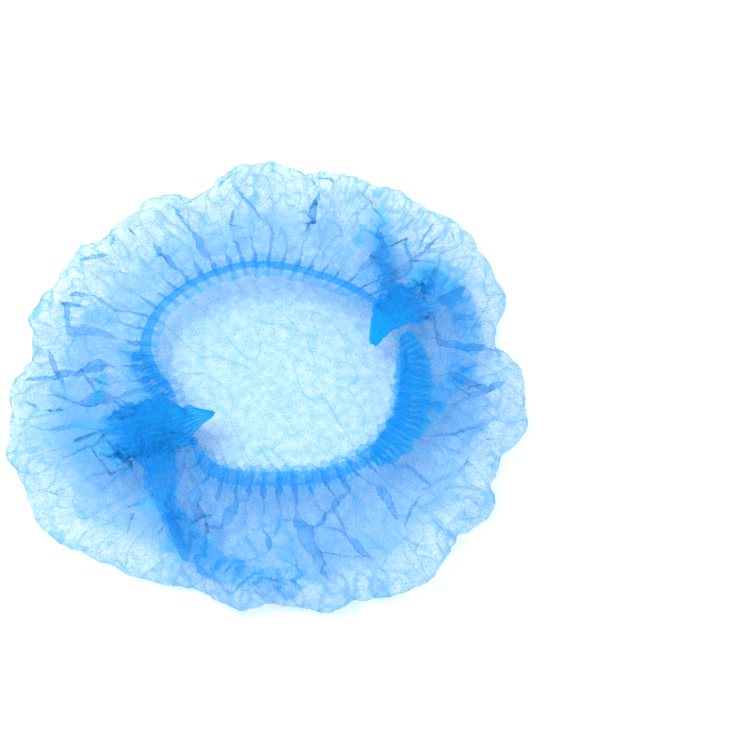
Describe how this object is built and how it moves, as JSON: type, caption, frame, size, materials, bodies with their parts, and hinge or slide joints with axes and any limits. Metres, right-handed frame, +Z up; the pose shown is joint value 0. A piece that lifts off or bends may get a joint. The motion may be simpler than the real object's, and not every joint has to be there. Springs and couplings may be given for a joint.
{
  "type": "disposable hairnet",
  "caption": "Pleated disposable bouffant cap of thin blue nonwoven, opened out and lying crown down, its elastic mouth gathered between two bunched ends.",
  "frame": {"origin": "under the middle of the cap, on the surface that the crown lies on", "axes": "+Z up out of the open mouth, +X towards the gathered end beside the mouth's right, +Y towards the far edge"},
  "size_m": [0.3701, 0.3641, 0.0504],
  "materials": {
    "cloth": "matte",
    "gathered_cloth": "matte",
    "elastic": "matte"
  },
  "bodies": {
    "root": {"cap_shell": "cloth", "far_elastic": "elastic", "near_elastic": "elastic", "left_gathered_end": "gathered_cloth", "right_gathered_end": "gathered_cloth"}
  },
  "joints": []
}
